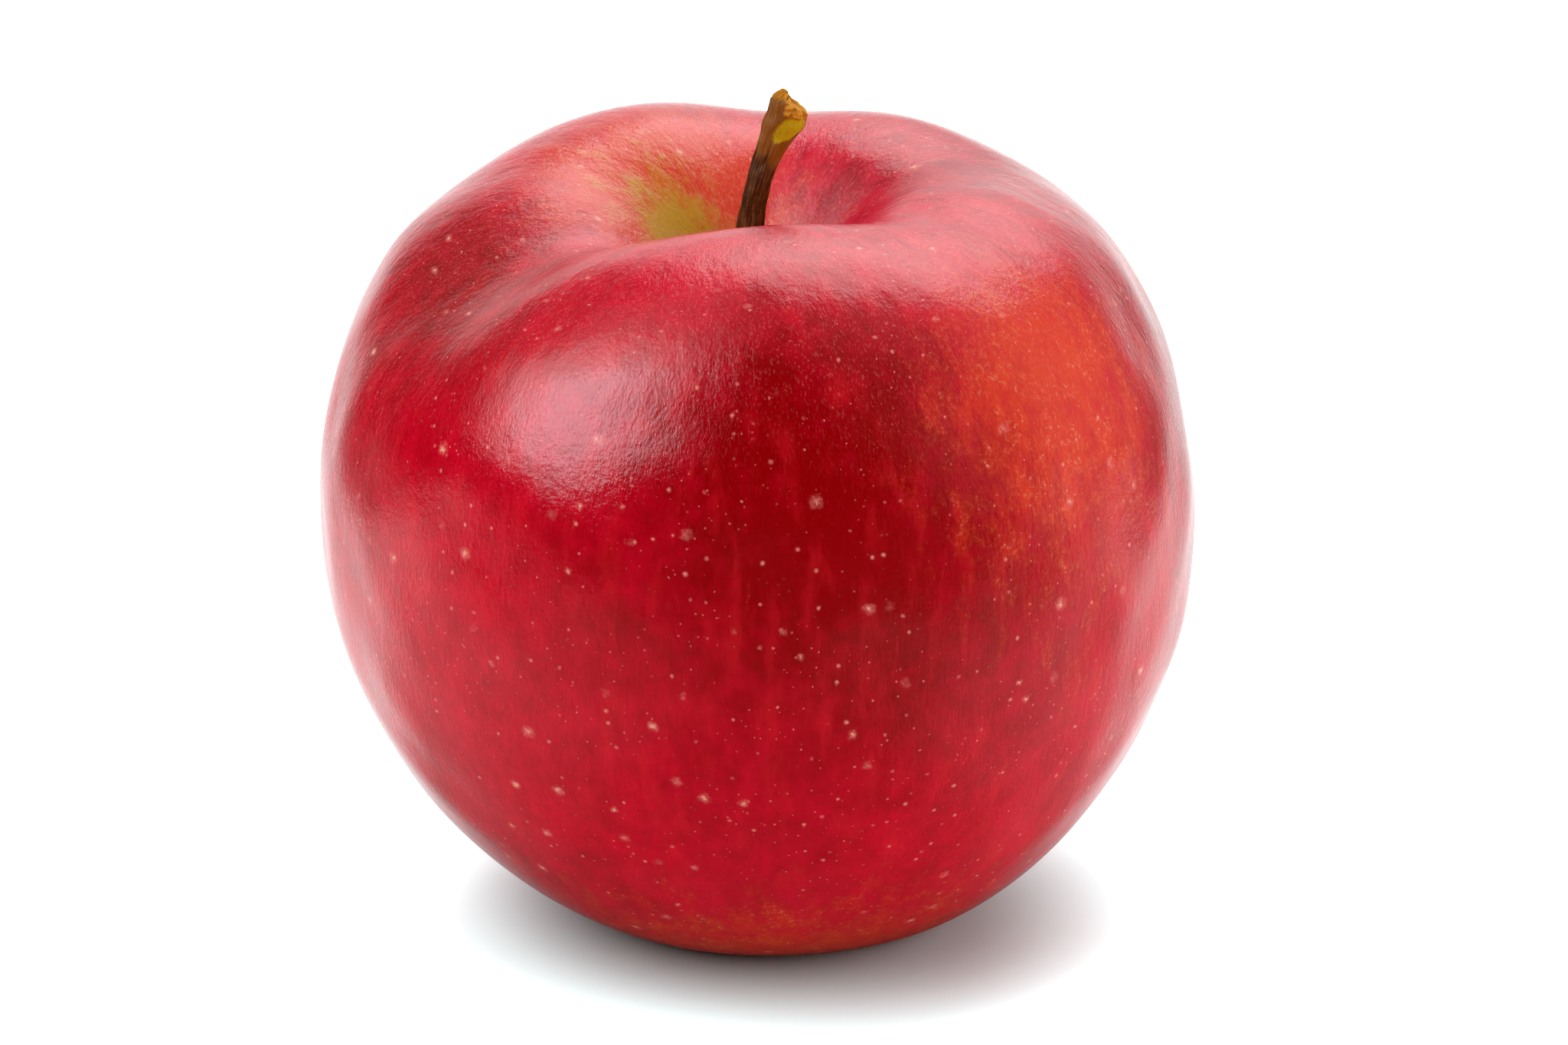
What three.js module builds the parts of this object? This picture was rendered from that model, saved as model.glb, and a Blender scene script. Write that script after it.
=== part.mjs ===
// A fresh apple as picked: the fruit, the stem that stands in its upper hollow, and the dried
// flower left in its lower one. Millimetres, +Z up, the front faces -Y. The origin lies on the
// surface that the apple stands on, under the middle of the fruit's width and depth.

import * as THREE from "three";
import { NURBSCurve } from "three/addons/curves/NURBSCurve.js";
import { ParametricGeometry } from "three/addons/geometries/ParametricGeometry.js";
import { mergeVertices } from "three/addons/utils/BufferGeometryUtils.js";

const DEGREE = Math.PI / 180;
const TURN = 2 * Math.PI;

// ---- Driving dimensions -----------------------------------------------------------------

// Half section of the fruit, as [radius, height] control points of a cubic B-spline: the floor
// of the stem hollow, its wall, the shoulder, the belly, the foot and the floor of the basin.
const HALF_SECTION = [
  [0, 55.5],
  [2.2, 56],
  [6, 59.5],
  [10.5, 63.6],
  [16, 66.8],
  [24.3, 65.7],
  [30.8, 61.9],
  [33.7, 59.1],
  [38.3, 51.7],
  [40.3, 39],
  [38.9, 25.2],
  [31.9, 12.2],
  [22.8, 3.2],
  [12.5, -1.9],
  [7.5, 2],
  [4, 7],
  [0, 8.2],
];
const SPANS = HALF_SECTION.length - 1;

// Lobes that swell the fruit outwards, and creases that draw it in. A place along the section
// is counted in control points from the floor of the stem hollow.
const SHOULDER_LOBES = [
  { azimuth: -95, rise: 3.7, focus: 2.9, place: 4.2, reach: 3.2 },
  { azimuth: -41, rise: 2.2, focus: 4.6, place: 4.6, reach: 3.2 },
  { azimuth: -2, rise: 1.9, focus: 13, place: 4.5, reach: 1.6 },
  { azimuth: 50, rise: 4.5, focus: 4.1, place: 5.2, reach: 3.2 },
  { azimuth: 118, rise: 4.3, focus: 5, place: 4.5, reach: 3.2 },
  { azimuth: 166, rise: 1.4, focus: 3.8, place: 4.4, reach: 3.2 },
];
const CREASES = [
  { azimuth: -157, rise: -3.3, focus: 14, place: 5.5, reach: 2.2 },
  { azimuth: -69, rise: 0.6, focus: 14, place: 4.4, reach: 2.2 },
  { azimuth: 27, rise: -1.1, focus: 16, place: 3.7, reach: 1.4 },
];
const FOOT_LOBES = [
  { azimuth: -121, rise: 0.1, focus: 6, place: 12, reach: 2 },
  { azimuth: -35, rise: 0.5, focus: 6, place: 12, reach: 2 },
  { azimuth: 21, rise: -0.7, focus: 6, place: 12, reach: 2 },
  { azimuth: 96, rise: 0.2, focus: 6, place: 12, reach: 2 },
  { azimuth: 166, rise: 0.4, focus: 6, place: 12, reach: 2 },
];
const BUMPS = [...SHOULDER_LOBES, ...CREASES, ...FOOT_LOBES];
const CALM_SPANS = 2.5; // over this many spans the bumps fade out towards either end of the core

// The core leans: it shifts sideways by LEAN over a rise of LEAN_HEIGHT, about LEAN_MIDDLE.
const LEAN = new THREE.Vector2(-1.96, -2.04);
const LEAN_HEIGHT = 70;
const LEAN_MIDDLE = 35;

// The stem's level sections, bottom to top, as [x, y, z, half width, half depth].
const STEM_SECTIONS = [
  [-0.8, -0.6, 56.7, 1.3, 1.3],
  [-0.95, -0.6, 60, 1.2, 1.2],
  [-0.8, -0.6, 63, 1.17, 1.15],
  [-0.5, -0.6, 65.7, 1.16, 1.15],
  [-0.3, -0.55, 67.5, 1.14, 1.12],
  [0.15, -0.5, 69.6, 1.14, 1.1],
  [0.72, -0.45, 71.2, 1.24, 1.1],
  [1.3, -0.4, 72.7, 1.38, 1.15],
  [1.8, -0.3, 73.8, 1.55, 1.25],
  [2.4, -0.25, 74.9, 1.86, 1.4],
  [2.68, -0.2, 75.9, 1.8, 1.45],
  [2.85, -0.2, 76.8, 1.65, 1.4],
  [2.95, -0.2, 77.5, 1.5, 1.3],
];
const BREAK_SLOPE = 0.65; // the snapped end falls this steeply towards +X
const BREAK_FROM = 0.8; // share of the stem's length below which its sections are level
const STEM_END_ROUNDING = 0.03; // share of the stem's length over which either end rounds off

// The dried flower: five sepals round a tuft of stamens, hanging in the basin.
const SEPAL_COUNT = 5;
const SEPAL_TURN = 18; // degrees from +X to the first sepal
const SEPAL_THICKNESS = 0.5;
const SEPAL_SECTIONS = [
  // [distance from the core, height, half width], from the foot to the tip
  [3.3, 6, 1.4],
  [2.65, 4.9, 1.6],
  [2.5, 3.6, 1.3],
  [3.4, 2.5, 0.9],
  [5.2, 2.1, 0.3],
];
const TUFT_TOP = 7.2;
const TUFT_BOTTOM = 3.1;
const TUFT_RADIUS = 1.15;
const TUFT_TAPER = 0.35; // share of its radius that the tuft loses on the way down
const TUFT_RIDGES = 7;
const TUFT_RIDGE_DEPTH = 0.14; // share of its radius

// Grid of each surface: [steps around, steps along].
const FRUIT_GRID = [64, 3 * SPANS];
const STEM_GRID = [16, 26];
const SEPAL_GRID = [10, 10];
const TUFT_GRID = [28, 8];

// ---- Finishes ---------------------------------------------------------------------------

const skin = new THREE.MeshStandardMaterial({ color: 0xa8101f, roughness: 0.3, metalness: 0 });
const bark = new THREE.MeshStandardMaterial({ color: 0x6a4524, roughness: 0.7, metalness: 0 });
const driedLeaf = new THREE.MeshStandardMaterial({ color: 0x6b5540, roughness: 0.9, metalness: 0 });
const driedStamen = new THREE.MeshStandardMaterial({ color: 0x3f2f22, roughness: 0.9, metalness: 0 });

// ---- Geometry helpers -------------------------------------------------------------------

// 0 below 0, 1 above 1, and a smooth climb between.
function smoothStep(t) {
  return THREE.MathUtils.smoothstep(t, 0, 1);
}

// 0 at either end of a piece and 1 in its middle, full-bodied in between.
function endRounding(along) {
  return Math.sqrt(Math.max(Math.sin(Math.PI * along), 0));
}

// A closed surface whose point(along, azimuth, target) meets in one point at along 0 and at
// along 1. Seen from along 1, the azimuth runs counter-clockwise, so the faces point outwards.
function closedSurface(point, [around, along]) {
  const place = (u, v, target) => point(v, (u % 1) * TURN, target);
  const grid = new ParametricGeometry(place, around, along);
  grid.deleteAttribute("normal");
  grid.deleteAttribute("uv");
  const merged = mergeVertices(grid, 1e-3);
  const corners = merged.index.array;
  const kept = [];
  for (let i = 0; i < corners.length; i += 3) {
    const [a, b, c] = corners.slice(i, i + 3);
    if (a !== b && b !== c && c !== a) kept.push(a, b, c);
  }
  merged.setIndex(kept);
  merged.computeVertexNormals();
  return merged;
}

function namedMesh(name, geometry, material) {
  const mesh = new THREE.Mesh(geometry, material);
  mesh.name = name;
  return mesh;
}

// Where the core's axis stands at a height.
function coreAt(height) {
  return LEAN.clone().multiplyScalar((height - LEAN_MIDDLE) / LEAN_HEIGHT);
}

// ---- Fruit ------------------------------------------------------------------------------

// The half section runs level into the axis at both ends, because the control points next to
// them are repeated on the other side of it.
function halfSectionCurve() {
  const before = [-HALF_SECTION[1][0], HALF_SECTION[1][1]];
  const after = [-HALF_SECTION[SPANS - 1][0], HALF_SECTION[SPANS - 1][1]];
  const controls = [before, ...HALF_SECTION, after].map(([r, z]) => new THREE.Vector4(r, z, 0, 1));
  const degree = 3;
  const knots = Array.from({ length: controls.length + degree + 1 }, (_, i) => i);
  return new NURBSCurve(degree, knots, controls, degree, controls.length);
}

// How far the skin stands out from the turned section.
function riseAt(place, azimuth) {
  let rise = 0;
  for (const bump of BUMPS) {
    const along = Math.exp(-(((place - bump.place) / bump.reach) ** 2));
    const around = Math.exp(bump.focus * (Math.cos(azimuth - bump.azimuth * DEGREE) - 1));
    rise += bump.rise * along * around;
  }
  return rise * smoothStep(place / CALM_SPANS) * smoothStep((SPANS - place) / CALM_SPANS);
}

// The turned half section, pushed out along its own normal by the bumps, with the core's lean,
// and cut level where it meets the surface it stands on.
function fruitGeometry() {
  const section = halfSectionCurve();
  const point = (along, azimuth, target) => {
    const t = 1 - along;
    const onSection = section.getPoint(t);
    const direction = section.getTangent(t);
    const rise = riseAt(t * SPANS, azimuth);
    const radius = Math.max(onSection.x - direction.y * rise, 0);
    const height = Math.max(onSection.y + direction.x * rise, 0);
    const core = coreAt(height);
    target.set(radius * Math.cos(azimuth) + core.x, radius * Math.sin(azimuth) + core.y, height);
  };
  return closedSurface(point, FRUIT_GRID);
}

// ---- Stem -------------------------------------------------------------------------------

// Level oval sections threaded on a smooth path. Near the top they tip over to the slope of
// the snapped end.
function stemGeometry() {
  const path = new THREE.CatmullRomCurve3(
    STEM_SECTIONS.map(([x, y, z]) => new THREE.Vector3(x, y, z)),
  );
  const ovals = new THREE.SplineCurve(
    STEM_SECTIONS.map(([, , , width, depth]) => new THREE.Vector2(width, depth)),
  );
  const point = (along, azimuth, target) => {
    const t = (1 - Math.cos(Math.PI * along)) / 2;
    const middle = path.getPoint(t);
    const oval = ovals.getPoint(t);
    const toEnd = Math.min(t, 1 - t, STEM_END_ROUNDING) / STEM_END_ROUNDING;
    const rounding = Math.sqrt(toEnd * (2 - toEnd));
    const sideways = oval.x * rounding * Math.cos(azimuth);
    const tip = BREAK_SLOPE * smoothStep((t - BREAK_FROM) / (1 - BREAK_FROM));
    target.set(
      middle.x + sideways,
      middle.y + oval.y * rounding * Math.sin(azimuth),
      middle.z - tip * sideways,
    );
  };
  return closedSurface(point, STEM_GRID);
}

// ---- Dried flower -----------------------------------------------------------------------

// One sepal, pointing along +X: a thin pointed blade that hangs down and curls outwards.
function sepalGeometry() {
  const path = new THREE.SplineCurve(SEPAL_SECTIONS.map(([r, z]) => new THREE.Vector2(r, z)));
  const widths = new THREE.SplineCurve(
    SEPAL_SECTIONS.map(([, , width], i) => new THREE.Vector2(i, width)),
  );
  const point = (along, azimuth, target) => {
    const middle = path.getPoint(along);
    const direction = path.getTangent(along);
    const rounding = endRounding(along);
    const across = widths.getPoint(along).y * rounding * Math.cos(azimuth);
    const through = (SEPAL_THICKNESS / 2) * rounding * Math.sin(azimuth);
    target.set(middle.x - direction.y * through, across, middle.y + direction.x * through);
  };
  return closedSurface(point, SEPAL_GRID);
}

// The stamens and styles, dried together into one ridged tuft that narrows downwards.
function tuftGeometry() {
  const point = (along, azimuth, target) => {
    const height = TUFT_BOTTOM + (TUFT_TOP - TUFT_BOTTOM) * along;
    const ridge = 1 + TUFT_RIDGE_DEPTH * Math.cos(TUFT_RIDGES * azimuth);
    const radius = TUFT_RADIUS * (1 - TUFT_TAPER * (1 - along)) * endRounding(along) * ridge;
    target.set(radius * Math.cos(azimuth), radius * Math.sin(azimuth), height);
  };
  return closedSurface(point, TUFT_GRID);
}

function driedFlower() {
  const flower = new THREE.Group();
  const core = coreAt(TUFT_TOP);
  flower.position.set(core.x, core.y, 0);
  for (let i = 0; i < SEPAL_COUNT; i += 1) {
    const sepal = namedMesh(`sepal_${i + 1}`, sepalGeometry(), driedLeaf);
    sepal.rotation.z = SEPAL_TURN * DEGREE + (i * TURN) / SEPAL_COUNT;
    flower.add(sepal);
  }
  flower.add(namedMesh("stamen_tuft", tuftGeometry(), driedStamen));
  return flower;
}

// ---- The whole apple --------------------------------------------------------------------

const apple = new THREE.Group();
apple.add(namedMesh("fruit", fruitGeometry(), skin));
apple.add(namedMesh("stem", stemGeometry(), bark));
apple.add(driedFlower());

const middle = new THREE.Box3().setFromObject(apple).getCenter(new THREE.Vector3());
apple.position.set(-middle.x, -middle.y, 0);

export default apple;
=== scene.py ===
"""A fresh red apple, built as a Blender add-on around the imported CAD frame.

Every piece is a surface worked out on a grid, in metres, in the frame's own axes: the skin over
the fruit, the stem, the five dried sepals and the dried stamens. Millimetres are written as
numbers times MM. The front of the apple faces -Y, and azimuths run from +X towards +Y.
"""

import math
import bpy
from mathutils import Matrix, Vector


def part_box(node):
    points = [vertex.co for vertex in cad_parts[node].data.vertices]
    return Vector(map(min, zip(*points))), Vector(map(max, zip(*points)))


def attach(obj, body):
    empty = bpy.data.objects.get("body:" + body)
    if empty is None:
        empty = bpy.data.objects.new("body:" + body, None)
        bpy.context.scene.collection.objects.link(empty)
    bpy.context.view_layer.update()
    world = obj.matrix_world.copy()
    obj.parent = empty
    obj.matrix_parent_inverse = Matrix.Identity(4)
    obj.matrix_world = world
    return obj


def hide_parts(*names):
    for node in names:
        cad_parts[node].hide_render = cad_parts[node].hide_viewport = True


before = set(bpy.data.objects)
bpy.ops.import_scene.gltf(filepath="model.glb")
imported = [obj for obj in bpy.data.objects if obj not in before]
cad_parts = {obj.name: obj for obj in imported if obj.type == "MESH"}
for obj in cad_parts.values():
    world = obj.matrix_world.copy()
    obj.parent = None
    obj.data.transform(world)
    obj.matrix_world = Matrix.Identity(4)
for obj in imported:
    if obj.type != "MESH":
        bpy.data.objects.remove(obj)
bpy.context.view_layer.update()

from types import SimpleNamespace

import bmesh
import bpy
import numpy as np
from bpy.props import FloatProperty, FloatVectorProperty, IntProperty, PointerProperty
from mathutils import Vector

bl_info = {
    "name": "Apple",
    "version": (1, 0, 0),
    "blender": (4, 5, 0),
    "location": "View3D > Sidebar > Apple",
    "description": "Builds a fresh apple with its stem and dried flower, and a small studio",
    "category": "Add Mesh",
}

MM = 0.001
DEGREE = math.pi / 180
TURN = 2 * math.pi
BODY = "root"

# ---- Shape of the fruit, in millimetres ----

# Half section as [radius, height] control points of a cubic B-spline, from the floor of the
# stem hollow over the shoulder and the belly to the floor of the basin.
HALF_SECTION = np.array([
    [0, 55.5], [2.2, 56], [6, 59.5], [10.5, 63.6], [16, 66.8], [24.3, 65.7],
    [30.8, 61.9], [33.7, 59.1], [38.3, 51.7], [40.3, 39], [38.9, 25.2], [31.9, 12.2],
    [22.8, 3.2], [12.5, -1.9], [7.5, 2], [4, 7], [0, 8.2],
])
SPANS = len(HALF_SECTION) - 1

# Each bump: azimuth in degrees, focus, place along the section, reach in places, rise in mm.
SHOULDER_LOBES = [
    (-95, 2.9, 4.2, 3.2, 3.7),
    (-41, 4.6, 4.6, 3.2, 2.2),
    (-2, 13, 4.5, 1.6, 1.9),
    (50, 4.1, 5.2, 3.2, 4.5),
    (118, 5, 4.5, 3.2, 4.3),
    (166, 3.8, 4.4, 3.2, 1.4),
]
CREASES = [
    (-157, 14, 5.5, 2.2, -3.3),
    (-69, 14, 4.4, 2.2, 0.6),
    (27, 16, 3.7, 1.4, -1.1),
]
FOOT_LOBES = [
    (-121, 6, 12, 2, 0.1),
    (-35, 6, 12, 2, 0.5),
    (21, 6, 12, 2, -0.7),
    (96, 6, 12, 2, 0.2),
    (166, 6, 12, 2, 0.4),
]
CALM_SPANS = 2.5
LEAN = (-1.96, -2.04)
LEAN_HEIGHT = 70
LEAN_MIDDLE = 35
BELLY_RADIUS = 40
SPOT_POWER = 0.65
WAVE_COUNT = 24
WAVE_LENGTHS = (8, 26)
# Places on the section where the waves have died out above the foot, and where the marks of
# the hollow and of the shoulder end, with the places that these fade over.
WAVES_END = 12
WAVES_FADE = 2
HOLLOW_END = 6.5
SHOULDER_END = 8.8
MARK_FADE = 4

# ---- Shape of the stem, in millimetres ----

# Level sections, bottom to top: x, y, z, half width, half depth.
STEM_SECTIONS = np.array([
    [-0.8, -0.6, 54.6, 1.5, 1.5],
    [-0.9, -0.6, 58, 1.22, 1.25],
    [-0.95, -0.6, 60, 1.2, 1.2],
    [-0.8, -0.6, 63, 1.17, 1.15],
    [-0.5, -0.6, 65.7, 1.16, 1.15],
    [-0.3, -0.55, 67.5, 1.14, 1.12],
    [0.15, -0.5, 69.6, 1.14, 1.1],
    [0.72, -0.45, 71.2, 1.24, 1.1],
    [1.3, -0.4, 72.7, 1.38, 1.15],
    [1.8, -0.3, 73.8, 1.55, 1.25],
    [2.4, -0.25, 74.9, 1.86, 1.4],
    [2.68, -0.2, 75.9, 1.8, 1.45],
    [2.85, -0.2, 76.8, 1.65, 1.4],
    [2.95, -0.2, 77.5, 1.5, 1.3],
])
# How steeply the snapped end falls towards +X, the share of the stem's length where its
# sections start to tip, and the share over which either end rounds off.
BREAK_SLOPE = 0.65
BREAK_FROM = 0.8
STEM_END_ROUNDING = 0.03
# Radius at which the bark's pattern is unrolled, and the waves in it: how many, and the
# shortest and longest wavelength.
BARK_RADIUS = 1.3
FIBRES = (40, (0.25, 1.1))
KNOTS = (12, (1.2, 3))
CRUMBS = (40, (0.3, 1.1))

# The scar beside the snapped end. Places on the stem are the cosine of the azimuth round it
# and the height.
SCAR_MIDDLE = (0.42, 75)
SCAR_REACH = (0.95, 1.65)
SCAR_DEPTH = 0.2
# The edge of the bare break: its height, and how it changes with the cosine of the azimuth.
BREAK_EDGE = (76.25, -0.6)
LIP_HEIGHT = 0.07
PEAK_HEIGHT = 0.3
CRUMB_HEIGHT = 0.035
CORNER_DROP = 0.8
DARK_BELOW = 71.9

# ---- Shape of the dried flower, in millimetres ----

FLOWER_HEIGHT = 7.2
SEPAL_COUNT = 5
SEPAL_TURN = 18 * DEGREE
SEPAL_THICKNESS = 0.34
SEPAL_FIBRE_LENGTH = 10
# Distance from the core, height and half width, from the foot to the tip.
SEPAL_SECTIONS = np.array([
    [3.7, 7, 1.5], [2.75, 5.2, 1.6], [2.5, 3.6, 1.3], [3.4, 2.5, 0.9], [5.2, 2.1, 0.3],
])
STAMEN_COUNT = 18
STAMEN_FOOT = 8.2
STAMEN_TIP = 3.4
STAMEN_SPREAD = 0.95
STAMEN_TURN = 2.4
STAMEN_WIDTH = 0.1
KNOB_WIDTH = 0.09

# ---- Patches of colour on the skin, the deep ones partly painted shade ----

# Each patch: azimuth in degrees, focus, place along the section, reach in places, amount.
BLUSH_PATCHES = [
    (-39, 13, 6.6, 1.7, 0.8),
    (-50, 14, 8.2, 1.7, 0.25),
    (-24, 9, 9, 2.8, 0.15),
    (112, 5, 2.9, 1.4, 1),
    (146, 6, 2.9, 1.8, 0.8),
    (170, 9, 2.9, 1.4, 0.8),
    (-120, 3, 1.8, 1.2, 0.5),
    (70, 4, 2.2, 1.2, 0.55),
    (-85, 1.2, 12.8, 1.5, 1.1),
    (115, 5, 9.5, 3, 0.5),
]
GROUND_PATCHES = [
    (143, 7, 2.2, 1.6, 0.9),
    (108, 9, 1.6, 1.2, 0.45),
    (165, 12, 1.6, 1.2, 0.7),
    (-90, 0.5, 1, 0.9, 0.7),
    (80, 0.1, 15, 1.3, 0.8),
    (128, 9, 9, 2.4, 0.25),
]
# The deep patches are partly the skin's own darker red and partly painted shade where the lamps
# leave the front dim: across the middle of the front, in the band below the rim and between the
# large highlight and the orange.
DEEP_RED_AND_SHADE_PATCHES = [
    (-81, 6, 8.1, 1.9, 1.2),
    (-60, 14, 9.2, 1.5, 0.3),
    (-160, 8, 5.6, 1.7, 0.8),
    (-78, 13, 6.1, 1.2, 0.6),
    (-178, 8, 5.2, 1.4, 0.3),
    (-165, 5, 7.5, 1.6, 0.35),
    (30, 9, 4.2, 1.4, 0.4),
    (0, 7, 7.8, 2.8, 0.85),
    (60, 5, 8.5, 3, 0.5),
    (-150, 3, 12, 2.5, 0.35),
]

# ---- Grids: rows along, columns around ----

BOX_GRID = (193, 256)
SKIN_GRID = (258, 376)
STEM_GRID = (260, 132)
SEPAL_GRID = (64, 60)
STAMEN_GRID = (40, 12)


def rgb(name, value, text):
    """A colour property, in scene-linear values."""
    return FloatVectorProperty(
        name=name, description=text, default=value, size=3, min=0, max=1, subtype="COLOR"
    )


class AppleSkinSettings(bpy.types.PropertyGroup):
    """Colours and grain of the skin."""

    crimson: rgb("Crimson", (0.62, 0.001, 0.019), "Main colour of the skin")
    # The deep red is the skin's own, and is also laid on as painted shade where the deep patches
    # lie.
    deep: rgb("Deep red", (0.26, 0.0003, 0.0015), "Darkest red")
    rose: rgb("Rose", (0.7, 0.004, 0.052), "Pinker red of the shoulders")
    scarlet: rgb("Scarlet", (0.7, 0.01, 0.018), "Brighter red of the streaks")
    blush: rgb("Blush", (0.66, 0.036, 0.007), "Orange where the red is thin")
    ground: rgb("Ground", (0.52, 0.3, 0.012), "Yellow-green ground colour inside the stem hollow")
    halo: rgb("Dot halo", (0.78, 0.2, 0.17), "Pale ring round each dot")
    dot: rgb("Dot", (0.86, 0.52, 0.3), "Centre of each dot")
    roughness: FloatProperty(
        name="Roughness", description="Roughness of the waxy skin", default=0.1, min=0, max=1
    )
    dot_spacing: FloatProperty(
        name="Dot spacing", description="Mean distance between the larger dots",
        default=3.7 * MM, unit="LENGTH",
    )
    dot_size: FloatProperty(
        name="Dot size", description="Radius of the larger dots with their pale ring",
        default=0.8 * MM, unit="LENGTH",
    )
    unevenness: FloatProperty(
        name="Unevenness", description="Height of the gentle waves in the skin",
        default=0.034 * MM, unit="LENGTH",
    )
    seed: IntProperty(name="Seed", description="Picks another set of waves", default=7, min=0)


class AppleStemSettings(bpy.types.PropertyGroup):
    """Colours and bark of the stem."""

    bark: rgb("Bark", (0.24, 0.08, 0.006), "Brown of the bark")
    pale_bark: rgb("Pale bark", (0.38, 0.18, 0.06), "Dry fibres of the bark")
    dark_bark: rgb("Dark bark", (0.055, 0.018, 0.002), "Nearly black lower half")
    scar: rgb("Scar", (0.52, 0.37, 0.003), "Yellow-green scar beside the snapped end")
    wood: rgb("Wood", (0.62, 0.25, 0.015), "Bare wood of the snapped end")
    ridge_height: FloatProperty(
        name="Ridge height", description="Height of the ridges along the bark",
        default=0.015 * MM, unit="LENGTH",
    )
    seed: IntProperty(name="Seed", description="Picks another bark", default=3, min=0)


class AppleFlowerSettings(bpy.types.PropertyGroup):
    """Colours and shape of the dried flower in the basin."""

    leaf: rgb("Leaf", (0.13, 0.075, 0.03), "Brown of the dried sepals")
    pale_leaf: rgb("Pale leaf", (0.34, 0.25, 0.13), "Grey-brown fuzz and veins of the sepals")
    stamen: rgb("Stamen", (0.07, 0.035, 0.018), "Dark brown of the dried stamens")
    pale_stamen: rgb("Pale stamen", (0.24, 0.14, 0.07), "Lighter fibres of the stamens")
    seed: IntProperty(name="Seed", description="Bends the sepals another way", default=5, min=0)


class AppleStageSettings(bpy.types.PropertyGroup):
    """Camera and light."""

    camera_distance: FloatProperty(
        name="Camera distance", description="From the camera to the middle of the apple",
        default=0.7, unit="LENGTH",
    )
    camera_height: FloatProperty(
        name="Camera height", description="Angle of the camera above the horizon",
        default=20 * DEGREE, subtype="ANGLE",
    )
    brightness: FloatProperty(
        name="Brightness", description="Multiplies the softboxes", default=1, min=0
    )


# ---- Curves and surfaces ----


def smooth_step(t):
    """3t² - 2t³ between 0 and 1, level outside."""
    t = np.clip(t, 0, 1)
    return t * t * (3 - 2 * t)


def b_spline(controls, place):
    """Uniform cubic B-spline, and its derivative. place counts control points from 0.

    The control points beside both ends are repeated on the other side of the axis, so the
    curve meets the axis level."""
    across = np.array([-1, 1])
    points = np.vstack([controls[1] * across, controls, controls[-2] * across])
    i = np.clip(np.floor(place).astype(int), 0, len(controls) - 2)
    f = (place - i)[:, None]
    weights = [(1 - f) ** 3, 3 * f**3 - 6 * f**2 + 4, -3 * f**3 + 3 * f**2 + 3 * f + 1, f**3]
    slopes = [-((1 - f) ** 2), 3 * f**2 - 4 * f, -3 * f**2 + 2 * f + 1, f**2]
    value = sum(w * points[i + k] for k, w in enumerate(weights)) / 6
    slope = sum(w * points[i + k] for k, w in enumerate(slopes)) / 2
    return value, slope


def through(stations, t):
    """Catmull-Rom curve through the stations, t from 0 at the first to 1 at the last."""
    points = np.vstack([2 * stations[0] - stations[1], stations, 2 * stations[-1] - stations[-2]])
    place = np.asarray(t) * (len(stations) - 1)
    i = np.clip(np.floor(place).astype(int), 0, len(stations) - 2)
    f = (place - i)[:, None]
    a, b, c, d = (points[i + k] for k in range(4))
    return 0.5 * (2 * b + (c - a) * f + (2 * a - 5 * b + 4 * c - d) * f**2
                  + (3 * b - a - 3 * c + d) * f**3)


def waves(points, count, lengths, seed):
    """A sum of plane waves through points[..., axis], with seeded directions and phases and
    wavelengths spread evenly between the two lengths. Its mean square is half of count."""
    random = np.random.default_rng(seed)
    total = np.zeros(points.shape[:-1])
    for length in np.linspace(*lengths, count):
        towards = random.normal(size=3)
        towards *= TURN / length / np.linalg.norm(towards)
        total += np.cos(points @ towards + random.uniform(0, TURN))
    return total


def bells(place, azimuth, spots):
    """Sum of soft bumps or patches: each is its amount, times a bell along the section, times
    a bell round the core."""
    total = 0
    for bearing, focus, middle, reach, amount in spots:
        along = np.exp(-(((place - middle) / reach) ** 2))
        total = total + amount * along * np.exp(focus * (np.cos(azimuth - bearing * DEGREE) - 1))
    return total


def joined(grids, name):
    """One mesh of several closed surfaces: grids is a list of (points, fields)."""
    meshes = [closed_surface(f"{name}_{index}", *grid) for index, grid in enumerate(grids)]
    whole = bmesh.new()
    for mesh in meshes:
        whole.from_mesh(mesh)
    result = meshes[0]
    whole.to_mesh(result)
    whole.free()
    for mesh in meshes[1:]:
        bpy.data.meshes.remove(mesh)
    result.name = name
    result.shade_smooth()
    return result


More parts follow.
